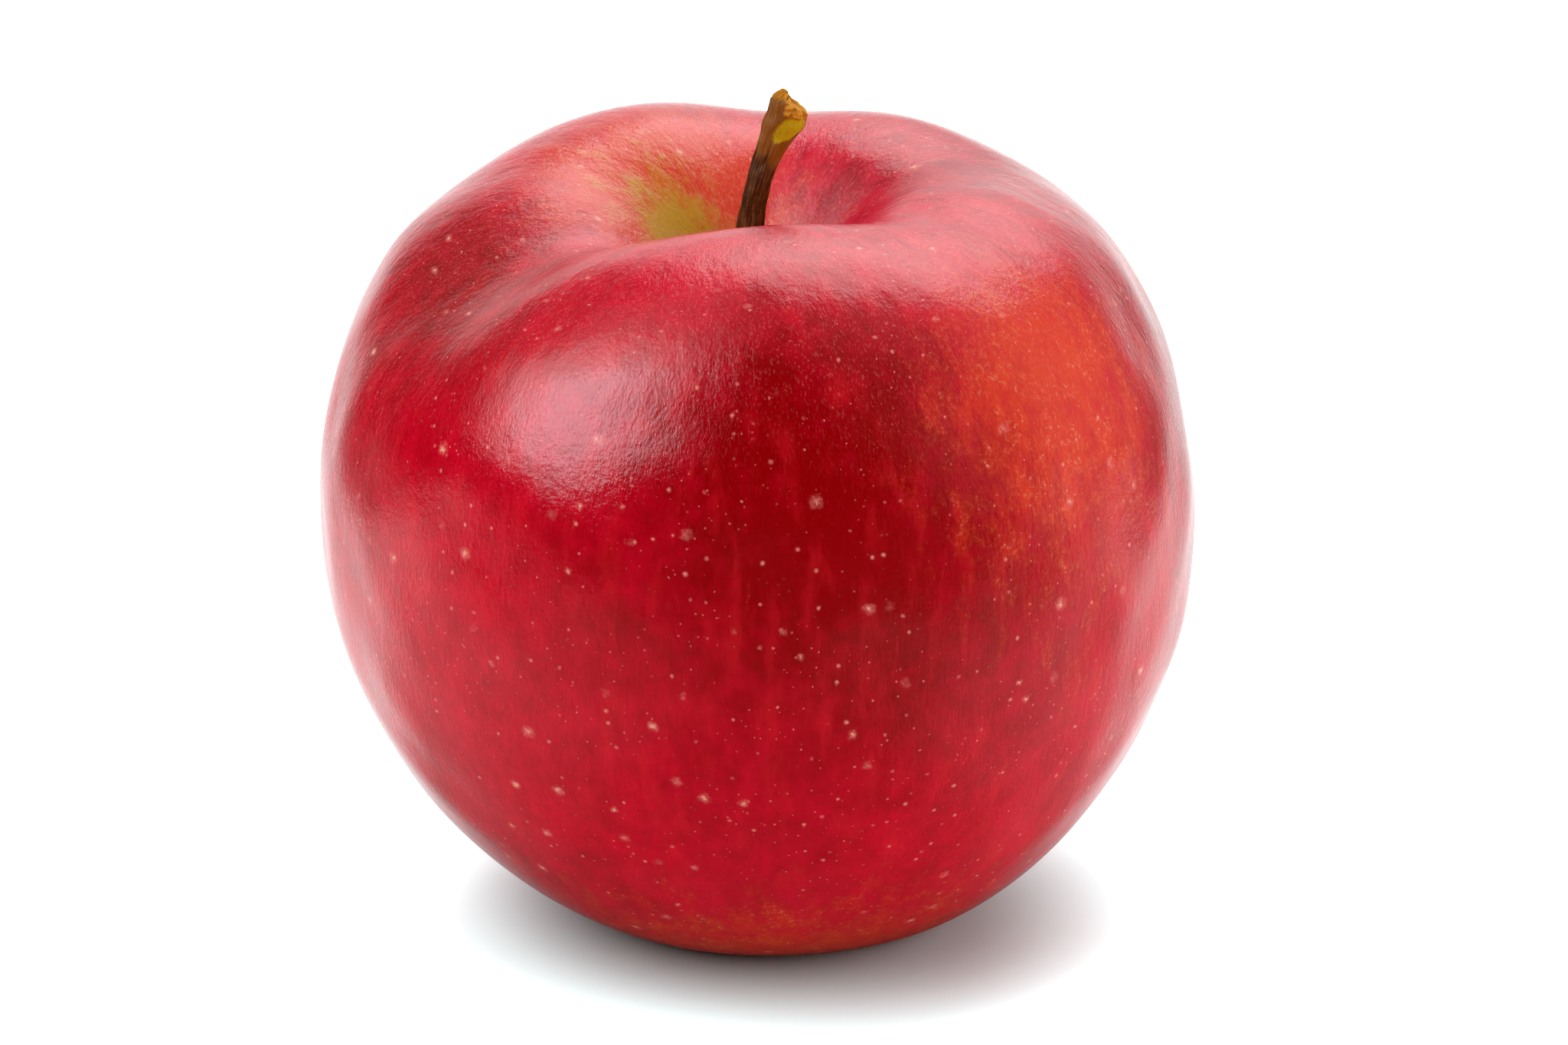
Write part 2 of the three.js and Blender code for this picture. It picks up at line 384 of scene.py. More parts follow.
def closed_surface(name, points, fields):
    """A closed mesh over points[row, column] in metres.

    The first and last rows are single points, and the columns run round counter-clockwise seen
    from the first row, so the faces point outwards. The UV map holds column and row, from 0 to
    1. Each field is an array [row, column] or [row, column, 3] kept as a point attribute."""
    rows, columns = points.shape[:2]

    def flat(grid):
        inner = grid[1:-1].reshape(-1, *grid.shape[2:])
        return np.concatenate([grid[:1].mean(axis=1), inner, grid[-1:].mean(axis=1)])

    vertices = flat(points)
    index = 1 + np.arange((rows - 2) * columns).reshape(rows - 2, columns)
    index = np.hstack([index, index[:, :1]])
    last = len(vertices) - 1
    quads = np.stack([index[:-1, :-1], index[1:, :-1], index[1:, 1:], index[:-1, 1:]], axis=-1)
    top = np.stack([np.zeros(columns, int), index[0, :-1], index[0, 1:]], axis=-1)
    base = np.stack([index[-1, :-1], np.full(columns, last), index[-1, 1:]], axis=-1)

    u = np.arange(columns + 1) / columns
    v = 1 - np.arange(rows) / (rows - 1)
    grid_uv = np.stack(np.broadcast_arrays(u[None, :], v[:, None]), axis=-1)
    inner_uv = grid_uv[1:-1]
    quad_uv = np.stack(
        [inner_uv[:-1, :-1], inner_uv[1:, :-1], inner_uv[1:, 1:], inner_uv[:-1, 1:]], axis=-2
    )
    middle = (u[:-1] + u[1:]) / 2
    top_pole = np.stack([middle, np.ones(columns)], axis=-1)
    base_pole = np.stack([middle, np.zeros(columns)], axis=-1)
    top_uv = np.stack([top_pole, inner_uv[0, :-1], inner_uv[0, 1:]], axis=1)
    base_uv = np.stack([inner_uv[-1, :-1], base_pole, inner_uv[-1, 1:]], axis=1)

    corners = np.concatenate([top.ravel(), quads.ravel(), base.ravel()])
    sizes = np.concatenate([
        np.full(columns, 3), np.full((rows - 3) * columns, 4), np.full(columns, 3),
    ])
    starts = np.concatenate([[0], np.cumsum(sizes)[:-1]])
    uv = np.concatenate([top_uv.reshape(-1, 2), quad_uv.reshape(-1, 2), base_uv.reshape(-1, 2)])

    mesh = bpy.data.meshes.new(name)
    mesh.vertices.add(len(vertices))
    mesh.vertices.foreach_set("co", vertices.astype(np.float32).ravel())
    mesh.loops.add(len(corners))
    mesh.loops.foreach_set("vertex_index", corners.astype(np.int32))
    mesh.polygons.add(len(sizes))
    mesh.polygons.foreach_set("loop_start", starts.astype(np.int32))
    mesh.uv_layers.new(name="UVMap")
    mesh.uv_layers[0].uv.foreach_set("vector", uv.astype(np.float32).ravel())
    for key, grid in fields.items():
        kind, slot = ("FLOAT_VECTOR", "vector") if grid.ndim == 3 else ("FLOAT", "value")
        mesh.attributes.new(key, kind, "POINT")
        mesh.attributes[key].data.foreach_set(slot, flat(grid).astype(np.float32).ravel())
    mesh.update()
    mesh.validate()
    mesh.shade_smooth()
    return mesh


def place_piece(mesh, material, node):
    """Links a finished mesh at the origin, rides it on the body and hides the node's CAD part."""
    piece = bpy.data.objects.new(mesh.name, mesh)
    bpy.context.scene.collection.objects.link(piece)
    mesh.materials.append(material)
    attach(piece, BODY)
    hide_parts(node)


# ---- Fruit ----


def core_at(height):
    """Where the leaning core's axis stands at a height, in millimetres."""
    share = (np.asarray(height) - LEAN_MIDDLE) / LEAN_HEIGHT
    return LEAN[0] * share, LEAN[1] * share


def rise_at(place, azimuth):
    """How far the bumps lift the skin. They fade out towards both ends of the core."""
    rise = bells(place, azimuth, SHOULDER_LOBES + CREASES + FOOT_LOBES)
    return rise * smooth_step(place / CALM_SPANS) * smooth_step((SPANS - place) / CALM_SPANS)


def fruit_points(place, azimuth):
    """Points of the fruit in millimetres: the half section turned round the core, pushed out
    along its own normal by the bumps, leaned with the core and cut level at the table."""
    section, slope = b_spline(HALF_SECTION, place)
    normal = np.stack([-slope[:, 1], slope[:, 0]], axis=-1)
    normal /= np.linalg.norm(normal, axis=1, keepdims=True)
    rise = rise_at(place[:, None], azimuth[None, :])
    radius = section[:, :1] + normal[:, :1] * rise
    height = section[:, 1:] + normal[:, 1:] * rise
    radius[[0, -1]] = 0
    height = np.maximum(height, 0)
    lean_x, lean_y = core_at(height)
    x = radius * np.cos(azimuth) + lean_x
    y = radius * np.sin(azimuth) + lean_y
    return np.stack([x, y, height], axis=-1)


def frame_shift():
    """From the fruit's own axes to the frame's, in millimetres: the middles of the two boxes."""
    columns = BOX_GRID[1]
    points = fruit_points(np.linspace(0, SPANS, BOX_GRID[0]), np.arange(columns) * TURN / columns)
    own = (points.min(axis=(0, 1)) + points.max(axis=(0, 1))) / 2
    low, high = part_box("fruit")
    return np.array([(low[0] + high[0]) / 2 / MM - own[0], (low[1] + high[1]) / 2 / MM - own[1], 0])


SHIFT = frame_shift()


def skin_mesh(settings):
    """The fruit's surface with gentle waves along its normal. Its point attributes are
    flow: position unrolled onto a cylinder of the belly's radius, in mm, for streaks;
    spots: the same with a radius that shrinks towards both ends, for dots;
    blush, ground and deep: amounts of those colours, where deep is partly painted shade;
    hollow: 1 in and near the stem hollow; shoulder: the same, further out."""
    rows, columns = SKIN_GRID
    place = np.linspace(0, SPANS, rows)
    azimuth = np.arange(columns) * TURN / columns
    points = fruit_points(place, azimuth)
    rough = waves(points, WAVE_COUNT, WAVE_LENGTHS, settings.seed) * settings.unevenness / MM
    fade = smooth_step(place / CALM_SPANS) * smooth_step((WAVES_END - place) / WAVES_FADE)
    rough *= fade[:, None]
    outwards = points - [0, 0, LEAN_MIDDLE]
    outwards /= np.linalg.norm(outwards, axis=-1, keepdims=True)
    points = points + outwards * rough[..., None]

    section, _ = b_spline(HALF_SECTION, place)
    steps = np.linalg.norm(np.diff(section, axis=0), axis=1)
    arc = np.concatenate([[0], np.cumsum(steps)])[:, None]
    round_core = np.stack([np.cos(azimuth), np.sin(azimuth)])[:, None, :]
    spot_radius = BELLY_RADIUS * (np.maximum(section[:, :1], 0.5) / BELLY_RADIUS) ** SPOT_POWER

    def unrolled(radius):
        across, along, up = np.broadcast_arrays(radius * round_core[0], radius * round_core[1], arc)
        return np.stack([across, along, up], axis=-1)

    grid = place[:, None], azimuth[None, :]
    fields = {
        "flow": unrolled(BELLY_RADIUS),
        "spots": unrolled(spot_radius),
        "blush": bells(*grid, BLUSH_PATCHES),
        "ground": bells(*grid, GROUND_PATCHES),
        # deep: the skin's darker red, partly painted shade on the dimly lit front.
        "deep": bells(*grid, DEEP_RED_AND_SHADE_PATCHES),
        "hollow": smooth_step((HOLLOW_END - place) / MARK_FADE)[:, None] * np.ones(columns),
        "shoulder": smooth_step((SHOULDER_END - place) / MARK_FADE)[:, None] * np.ones(columns),
    }
    return closed_surface("fruit_skin", (points + SHIFT) * MM, fields)


# ---- Shader node groups ----


class Nodes:
    """A node tree with short ways to add the nodes that the materials share."""

    def __init__(self, tree):
        self.tree = tree

    def add(self, kind, **inputs):
        """A node; each input is a socket to link or a value, by the input's name."""
        node = self.tree.nodes.new(kind)
        for name, value in inputs.items():
            self.put(node.inputs[name.replace("_", " ")], value)
        return node

    def put(self, socket, value):
        if isinstance(value, bpy.types.NodeSocket):
            self.tree.links.new(value, socket)
        elif socket.type == "RGBA" and len(value) == 3:
            socket.default_value = (*value, 1)
        else:
            socket.default_value = value

    def fill(self, node, *values):
        """Puts the values into the node's inputs in order, and returns its outputs."""
        for socket, value in zip(node.inputs, values):
            self.put(socket, value)
        return node.outputs

    def math(self, operation, *values):
        node = self.tree.nodes.new("ShaderNodeMath")
        node.operation = operation
        return self.fill(node, *values)[0]

    def times(self, first, second):
        return self.math("MULTIPLY", first, second)

    def times_plus(self, first, second, third):
        """The product of the first two, plus the third."""
        return self.math("MULTIPLY_ADD", first, second, third)

    def minus(self, first, second):
        return self.math("SUBTRACT", first, second)

    def larger(self, first, second):
        return self.math("MAXIMUM", first, second)

    def vector(self, operation, *values, output="Vector"):
        node = self.tree.nodes.new("ShaderNodeVectorMath")
        node.operation = operation
        return self.fill(node, *values)[output]

    def clamp(self, value):
        """The value held between 0 and 1."""
        return self.larger(self.math("MINIMUM", value, 1), 0)

    def ramp(self, value, start, end, low=0, high=1):
        """Smooth ramp from low to high as the value goes from start to end."""
        node = self.tree.nodes.new("ShaderNodeMapRange")
        node.interpolation_type = "SMOOTHSTEP"
        return self.fill(node, value, start, end, low, high)["Result"]

    def mix_shaders(self, amount, first, second):
        return self.fill(self.tree.nodes.new("ShaderNodeMixShader"), amount, first, second)[0]

    def blend(self, amount, first, second):
        """The colour that lies between two colours."""
        node = self.tree.nodes.new("ShaderNodeMix")
        node.data_type = "RGBA"
        self.put(node.inputs[0], amount)
        self.put(node.inputs[6], first)
        self.put(node.inputs[7], second)
        return node.outputs[2]

    def noise(self, place, scale, detail=2, roughness=0.5, output="Fac"):
        node = self.add(
            "ShaderNodeTexNoise", Vector=place, Scale=scale, Detail=detail, Roughness=roughness
        )
        return node.outputs[output]

    def field(self, name, kind="Fac"):
        node = self.tree.nodes.new("ShaderNodeAttribute")
        node.attribute_name = name
        return node.outputs[kind]

    def group(self, tree, **inputs):
        node = self.tree.nodes.new("ShaderNodeGroup")
        node.node_tree = tree
        for name, value in inputs.items():
            self.put(node.inputs[name.replace("_", " ")], value)
        return node


def node_group(name, inputs, outputs):
    """An empty shader node group, its Nodes helper and its input and output nodes."""
    tree = bpy.data.node_groups.new(name, "ShaderNodeTree")
    for socket, (kind, value) in inputs.items():
        made = tree.interface.new_socket(socket, in_out="INPUT", socket_type=kind)
        if value is not None:
            made.default_value = value
    for socket in outputs:
        tree.interface.new_socket(socket, in_out="OUTPUT", socket_type="NodeSocketFloat")
    return Nodes(tree), tree.nodes.new("NodeGroupInput").outputs, tree.nodes.new("NodeGroupOutput")


def shared(name, build):
    """The node group of this name, built the first time that it is asked for."""
    return bpy.data.node_groups.get(name) or build(name)


def build_streaks(name):
    """Fibres or streaks that run along the third axis of Place: noise stretched from Width to
    Length, with Contrast."""
    nodes, given, result = node_group(name, {
        "Place": ("NodeSocketVector", None),
        "Width": ("NodeSocketFloat", 1),
        "Length": ("NodeSocketFloat", 10),
        "Contrast": ("NodeSocketFloat", 2),
    }, ["Streak"])
    sizes = nodes.add("ShaderNodeCombineXYZ", X=given["Width"], Y=given["Width"], Z=given["Length"])
    place = nodes.vector("DIVIDE", given["Place"], sizes.outputs[0])
    level = nodes.minus(nodes.noise(place, 1, 4, 0.6), 0.5)
    level = nodes.times_plus(level, given["Contrast"], 0.5)
    nodes.put(result.inputs["Streak"], nodes.clamp(level))
    return nodes.tree


def build_dots(name):
    """Scattered dots: Spacing and Size in the units of Place, Share of the cells that hold a
    dot, Stretch along the third axis. Halo is the whole dot, Core its centre."""
    nodes, given, result = node_group(name, {
        "Place": ("NodeSocketVector", None),
        "Spacing": ("NodeSocketFloat", 5),
        "Size": ("NodeSocketFloat", 0.8),
        "Share": ("NodeSocketFloat", 1),
        "Stretch": ("NodeSocketFloat", 1),
    }, ["Halo", "Core"])
    tall = nodes.times(given["Spacing"], given["Stretch"])
    cell = nodes.add("ShaderNodeCombineXYZ", X=given["Spacing"], Y=given["Spacing"], Z=tall)
    wobble = nodes.noise(given["Place"], 1.9, 3, output="Color")
    wobble = nodes.vector("SUBTRACT", wobble, (0.5, 0.5, 0.5))
    shake = nodes.vector("MULTIPLY", wobble, nodes.times(given["Size"], 0.9))
    place = nodes.vector("ADD", given["Place"], shake)
    place = nodes.vector("DIVIDE", place, cell.outputs[0])
    cells = nodes.add("ShaderNodeTexVoronoi", Vector=place, Scale=1)
    chance = nodes.add("ShaderNodeSeparateColor", Color=cells.outputs["Color"]).outputs
    held = nodes.math("LESS_THAN", chance[0], given["Share"])
    size = nodes.ramp(chance[1], 0, 1, 0.45, 1.1)
    radius = nodes.math("DIVIDE", nodes.times(given["Size"], size), given["Spacing"])
    reach = nodes.math("DIVIDE", cells.outputs["Distance"], radius)
    halo = nodes.times(nodes.ramp(reach, 0.15, 1, 1, 0), held)
    core = nodes.times(nodes.ramp(reach, 0.12, 0.42, 1, 0), held)
    nodes.put(result.inputs["Halo"], halo)
    nodes.put(result.inputs["Core"], core)
    return nodes.tree


def build_relief(name):
    """Height in millimetres of a fine grain of the given Grain size and Depth over broad soft
    dents of the given Dent size and Dent depth, from a place in millimetres."""
    nodes, given, result = node_group(name, {
        "Place": ("NodeSocketVector", None),
        "Grain size": ("NodeSocketFloat", 0.4),
        "Grain depth": ("NodeSocketFloat", 0.01),
        "Dent size": ("NodeSocketFloat", 4),
        "Dent depth": ("NodeSocketFloat", 0.05),
    }, ["Bump Height"])
    grain = nodes.noise(given["Place"], nodes.math("DIVIDE", 1, given["Grain size"]), 3, 0.6)
    dents = nodes.noise(given["Place"], nodes.math("DIVIDE", 1, given["Dent size"]), 1, 0.4)
    grain = nodes.times(grain, given["Grain depth"])
    dents = nodes.times(dents, given["Dent depth"])
    nodes.put(result.inputs["Bump Height"], nodes.math("ADD", grain, dents))
    return nodes.tree


def new_material(name):
    """A material, its Nodes helper, its Principled shader and the place on the piece in mm."""
    material = bpy.data.materials.new(name)
    material.use_nodes = True
    nodes = Nodes(material.node_tree)
    shader = material.node_tree.nodes["Principled BSDF"]
    place = nodes.add("ShaderNodeTexCoord").outputs["Object"]
    place = nodes.vector("MULTIPLY", place, (1 / MM, 1 / MM, 1 / MM))
    return material, nodes, shader, place


def raise_normal(nodes, shader, height):
    """Bumps the shader's normal by a height in millimetres."""
    bump = nodes.add("ShaderNodeBump", Height=height, Distance=MM)
    nodes.put(shader.inputs["Normal"], bump.outputs[0])


# Streaks of the skin: the field they run along, width and length in mm, contrast.
SKIN_STREAKS = {
    "broad": ("flow", 7, 12, 2.6),
    "bands": ("spots", 2.2, 9, 2.2),
    "fine": ("spots", 0.5, 2, 2.6),
    "hairs": ("spots", 0.2, 1.5, 3.4),
}
# How much each pattern tears the thin edges of the colour patches.
TEARS = {"bands": 0.35, "fine": 0.2, "speckle": 0.5, "mottle": 0.9}
# Dots: share of the dot spacing, share of the dot size, share of the cells that hold one.
DOTS = {"large": (1, 1, 0.75), "medium": (0.42, 0.36, 0.75), "small": (0.2, 0.18, 0.8)}


def skin_masks(nodes, place):
    """The patterns that the skin's colour, shine and relief share: streaks that run from the
    stem to the flower, two mottlings, and torn, which breaks up the edges of patches."""
    streaks = shared("apple_streaks", build_streaks)
    masks = {name: nodes.field(name) for name in ("hollow", "shoulder", "deep")}
    for name, (course, width, length, contrast) in SKIN_STREAKS.items():
        masks[name] = nodes.group(
            streaks, Place=nodes.field(course, "Vector"), Width=width, Length=length,
            Contrast=contrast,
        ).outputs[0]
    masks["speckle"] = nodes.noise(place, 2.2, 5, 0.75)
    masks["mottle"] = nodes.noise(place, 0.4, 5, 0.65)
    torn = 0
    for name, share in TEARS.items():
        torn = nodes.times_plus(nodes.minus(masks[name], 0.5), share, torn)
    return SimpleNamespace(torn=torn, **masks)


def colour_patch(nodes, mask, name):
    """A patch of colour that breaks up into bands where it thins out."""
    amount = nodes.field(name)
    edge = nodes.times_plus(mask.torn, nodes.ramp(amount, 0, 0.25), amount)
    return nodes.ramp(edge, 0.2, 1)


def skin_colour(nodes, mask, settings):
    """Crimson with deep and scarlet streaks, orange blush and yellow-green ground, without the
    dots; the deep red is partly painted shade. Also returns the blush."""
    # Deep red from broad streaks, the deep patches and mottling; where the patches lie it is partly
    # painted shade.
    deep = nodes.times(nodes.minus(mask.broad, 0.3), 0.35)
    deep = nodes.times_plus(mask.deep, 0.8, deep)
    deep = nodes.times_plus(nodes.minus(mask.mottle, 0.5), 1.2, deep)
    rosy = nodes.times(mask.hollow, 0.8)
    colour = nodes.blend(rosy, settings.crimson, settings.rose)
    colour = nodes.blend(nodes.clamp(deep), colour, settings.deep)
    lively = nodes.ramp(mask.bands, 0.45, 0.95, 0, 0.3)
    lively = nodes.times_plus(nodes.times(mask.hollow, mask.fine), 0.35, lively)
    colour = nodes.blend(lively, colour, settings.scarlet)
    dark_bands = nodes.times(nodes.ramp(mask.bands, 0.55, 0.15, 0, 0.5), mask.hollow)
    colour = nodes.blend(dark_bands, colour, settings.deep)
    blush = colour_patch(nodes, mask, "blush")
    colour = nodes.blend(blush, colour, settings.blush)
    gold = nodes.ramp(mask.speckle, 0.5, 0.72, 0, 0.3)
    gold = nodes.times(gold, nodes.ramp(mask.mottle, 0.4, 0.62))
    colour = nodes.blend(nodes.times(gold, blush), colour, settings.dot)
    colour = nodes.blend(colour_patch(nodes, mask, "ground"), colour, settings.ground)

    # Pale flecks and threads thicken towards the stem hollow.
    flecks = nodes.times(nodes.ramp(mask.fine, 0.55, 1, 0, 0.35), mask.hollow)
    colour = nodes.blend(flecks, colour, settings.halo)
    threads = nodes.ramp(mask.hairs, 0.72, 1)
    threads = nodes.times(threads, nodes.ramp(mask.shoulder, 0, 1, 0, 0.22))
    colour = nodes.blend(threads, colour, settings.halo)
    dark_threads = nodes.ramp(mask.hairs, 0.45, 0.05, 0, 0.15)
    return nodes.blend(dark_threads, colour, settings.deep), blush


def skin_dots(nodes, mask, place, blush, settings):
    """Pale dots in three sizes, drawn out near the hollow, with the smallest crowded in places,
    on the shoulder and on the blush. Returns their pale rings and their centres."""
    dots = shared("apple_dots", build_dots)
    spots = nodes.field("spots", "Vector")
    stretch = nodes.ramp(mask.hollow, 0, 1, 1, 1.9)
    spacing, size = settings.dot_spacing / MM, settings.dot_size / MM
    large, medium, small = (
        nodes.group(
            dots, Place=spots, Spacing=spacing * apart, Size=size * across, Share=share,
            Stretch=stretch,
        ).outputs
        for apart, across, share in DOTS.values()
    )
    crowd = nodes.ramp(nodes.noise(place, 0.09, 2), 0.4, 0.6, 0.15, 0.9)
    crowd = nodes.larger(crowd, nodes.times(mask.shoulder, 0.45))
    crowd = nodes.times(nodes.larger(crowd, blush), 0.8)
    halo = nodes.times(large["Halo"], nodes.ramp(mask.speckle, 0.3, 0.62, 0.1, 0.75))
    halo = nodes.larger(halo, nodes.times(medium["Halo"], 0.7))
    halo = nodes.larger(halo, nodes.times(small["Halo"], crowd))
    core = nodes.larger(large["Core"], nodes.times(medium["Core"], 0.6))
    return halo, core


def skin_height(nodes, mask, place, core):
    """Relief of the skin in mm: grain, dents, waves, streaks that grow into ribs on the
    shoulder, and dots that stand up a little."""
    height = nodes.group(
        shared("apple_relief", build_relief), Place=place,
        Grain_size=0.42, Grain_depth=0.03, Dent_size=4.5, Dent_depth=0.1,
    ).outputs[0]
    ripples = nodes.noise(nodes.field("spots", "Vector"), 0.9, 5, 0.65)
    ribs = nodes.times(mask.bands, mask.shoulder)
    rises = ((ripples, 0.035), (mask.fine, 0.01), (mask.hairs, 0.008), (ribs, 0.07), (core, 0.006))
    for pattern, rise in rises:
        height = nodes.times_plus(pattern, rise, height)
    return height


def skin_material(settings):
    """Streaked red skin with pale dots, and a waxy shine over a fine grain that the dots and
    the threads dull."""
    material, nodes, shader, place = new_material("apple_skin")
    mask = skin_masks(nodes, place)
    colour, blush = skin_colour(nodes, mask, settings)
    halo, core = skin_dots(nodes, mask, place, blush, settings)
    colour = nodes.blend(halo, colour, settings.halo)
    colour = nodes.blend(nodes.times(core, 0.55), colour, settings.dot)
    nodes.put(shader.inputs["Base Color"], colour)

    wax = settings.roughness
    rough = nodes.ramp(mask.speckle, 0.3, 0.7, wax * 0.8, wax * 1.25)
    rough = nodes.times_plus(halo, 0.12, rough)
    rough = nodes.times_plus(nodes.ramp(mask.hairs, 0.2, 0.9), wax * 0.4, rough)
    nodes.put(shader.inputs["Roughness"], rough)
    shader.inputs["IOR"].default_value = 1.45
    raise_normal(nodes, shader, skin_height(nodes, mask, place, core))
    return material


# ---- Stem ----


def stem_mesh(settings):
    """Oval sections threaded on a bent line, tipped over to the slope of the snapped end, with
    ridges along the bark, a hollow scar and a granular break. Its point attributes are grain:
    place unrolled for fibres, in mm; scar, wood and dark: where the stem is so."""
    rows, columns = STEM_GRID
    t = (1 - np.cos(math.pi * np.linspace(0, 1, rows))) / 2
    azimuth = -np.arange(columns) * TURN / columns
    sections = through(STEM_SECTIONS, t)
    side, front = np.cos(azimuth)[None, :], np.sin(azimuth)[None, :]
    end = np.minimum(np.minimum(t, 1 - t), STEM_END_ROUNDING) / STEM_END_ROUNDING
    rounding = np.sqrt(end * (2 - end))
    rounding[[0, -1]] = 0
    tip = BREAK_SLOPE * smooth_step((t - BREAK_FROM) / (1 - BREAK_FROM))[:, None]
    x0, y0, z0, wide, deep = (sections[:, i:i + 1] for i in range(5))

    level = z0 - tip * wide * side
    facing = smooth_step((0.35 - front) / 0.9)
    along = (level - SCAR_MIDDLE[1]) / SCAR_REACH[1]
    across = (side - SCAR_MIDDLE[0] - 0.3 * along) / SCAR_REACH[0]
    scar = smooth_step(2.2 * (1 - np.sqrt(along**2 + across**2))) * facing
    edge = BREAK_EDGE[0] + BREAK_EDGE[1] * side
    wood = smooth_step((level - edge) / 0.35 + 0.5) * smooth_step((side + 0.32) / 0.3)
    wood = np.maximum(wood, smooth_step((1 - rounding[:, None]) * 3) * (t > 0.5)[:, None])
    scar = scar * (1 - wood)

    grain = np.stack(np.broadcast_arrays(BARK_RADIUS * side, BARK_RADIUS * front, level), axis=-1)
    fibres = waves(grain * [1, 1, 0.12], *FIBRES, settings.seed)
    knots = waves(grain * [1, 1, 0.8], *KNOTS, settings.seed + 1)
    crumbs = waves(grain, *CRUMBS, settings.seed + 2)
    bark = settings.ridge_height / MM * (fibres + 0.9 * knots)
    swell = bark * (1 - np.maximum(scar, wood)) + CRUMB_HEIGHT * crumbs * wood - SCAR_DEPTH * scar
    lip = np.exp(-(((level - edge) / 0.16) ** 2)) * smooth_step((side + 0.3) / 0.3) * facing
    swell = swell + LIP_HEIGHT * lip

    sideways = (wide + swell) * rounding[:, None] * side
    x = x0 + sideways
    y = y0 + (deep + swell) * rounding[:, None] * front
    peak = PEAK_HEIGHT * np.exp(-(((side * rounding[:, None] + 0.25) / 0.35) ** 2))
    tear = (t > 0.5)[:, None] * (1 - rounding[:, None] ** 2) * (CRUMB_HEIGHT * crumbs + peak)
    corner = smooth_step((-side * rounding[:, None] - 0.2) / 0.8)
    corner = CORNER_DROP * corner * smooth_step((t - BREAK_FROM) / (1 - BREAK_FROM))[:, None]
    z = z0 - tip * sideways + tear - corner
    z[-1] = z[-2].mean()
    fields = {"grain": grain, "scar": scar, "wood": wood,
              "dark": smooth_step((DARK_BELOW - 0.7 * side - level) / 2.6 + 0.5)}
    return closed_surface("stem_bark", (np.stack([x, y, z], axis=-1) + SHIFT) * MM, fields)


def stem_material(settings):
    """Brown bark with pale dry fibres, nearly black below, and a bare granular break."""
    material, nodes, shader, place = new_material("stem_bark")
    grain = nodes.field("grain", "Vector")
    streaks = shared("apple_streaks", build_streaks)
    relief = shared("apple_relief", build_relief)
    fibres = nodes.group(streaks, Place=grain, Width=0.16, Length=1.6, Contrast=3).outputs[0]
    coarse = nodes.group(streaks, Place=grain, Width=0.7, Length=4, Contrast=2.5).outputs[0]
    crumbs = nodes.noise(place, 3.2, 4, 0.65)
    colour = nodes.blend(nodes.ramp(fibres, 0.55, 1, 0, 0.3), settings.bark, settings.pale_bark)
    dark = nodes.times_plus(nodes.minus(coarse, 0.5), 0.8, nodes.field("dark"))
    dark = nodes.times(nodes.ramp(dark, 0.1, 0.9), nodes.ramp(fibres, 0.5, 0.9, 1, 0.45))
    colour = nodes.blend(dark, colour, settings.dark_bark)
    scar_edge = nodes.times_plus(nodes.minus(crumbs, 0.5), 1.2, nodes.field("scar"))
    colour = nodes.blend(nodes.ramp(scar_edge, 0.1, 0.7), colour, settings.scar)
    colour = nodes.blend(nodes.field("wood"), colour, settings.wood)
    stain = nodes.larger(nodes.field("scar"), nodes.field("wood"))
    stain = nodes.times(nodes.ramp(crumbs, 0.5, 0.72), stain)
    colour = nodes.blend(nodes.times(stain, 0.6), colour, settings.bark)
    nodes.put(shader.inputs["Base Color"], colour)
    nodes.put(shader.inputs["Roughness"], nodes.ramp(fibres, 0.2, 0.9, 0.34, 0.5))
    shader.inputs["Specular IOR Level"].default_value = 0.15
    height = nodes.group(
        relief, Place=place, Grain_size=0.22, Grain_depth=0.05, Dent_size=0.9, Dent_depth=0.06
    ).outputs[0]
    raise_normal(nodes, shader, nodes.times_plus(fibres, 0.04, height))
    return material


# ---- Dried flower ----


def sepal_mesh(index, random):
    """A thin pointed blade that hangs down and curls outwards, cupped across, with wavy edges,
    turned to its own azimuth round the core."""
    rows, columns = SEPAL_GRID
    along = (1 - np.cos(math.pi * np.linspace(0, 1, rows))) / 2
    azimuth = np.arange(columns) * TURN / columns
    line = through(SEPAL_SECTIONS, along)
    ahead = np.gradient(line[:, :2], axis=0)
    ahead /= np.linalg.norm(ahead, axis=1, keepdims=True)
    rounding = np.sqrt(np.maximum(np.sin(math.pi * along), 0))[:, None]
    across = line[:, 2:3] * rounding * np.cos(azimuth)
    side = across / SEPAL_SECTIONS[:, 2].max()
    through_leaf = SEPAL_THICKNESS / 2 * rounding * np.sin(azimuth)
    cup = random.uniform(0.12, 0.3)
    twist = random.uniform(-0.25, 0.25)
    wave = random.uniform(0, TURN)
    crinkle = 0.1 * np.cos(9 * along[:, None] + wave + 2 * side) * np.abs(side)
    vein = 0.05 * np.exp(-((side / 0.12) ** 2))
    offset = (cup * side**2 + twist * side * along[:, None] + crinkle + vein) * rounding
    offset = through_leaf - offset
    r = line[:, 0:1] - ahead[:, 1:2] * offset
    z = line[:, 1:2] + ahead[:, 0:1] * offset
    turn = SEPAL_TURN + index * TURN / SEPAL_COUNT
    core = core_at(FLOWER_HEIGHT)
    x = r * math.cos(turn) - across * math.sin(turn) + core[0]
    y = r * math.sin(turn) + across * math.cos(turn) + core[1]
    fibre = SEPAL_FIBRE_LENGTH * along[:, None]
    grain = np.stack(np.broadcast_arrays(across, through_leaf, fibre), axis=-1)
    points = (np.stack([x, y, z], axis=-1) + SHIFT) * MM
    return closed_surface(f"dried_sepal_{index + 1}", points, {"grain": grain})


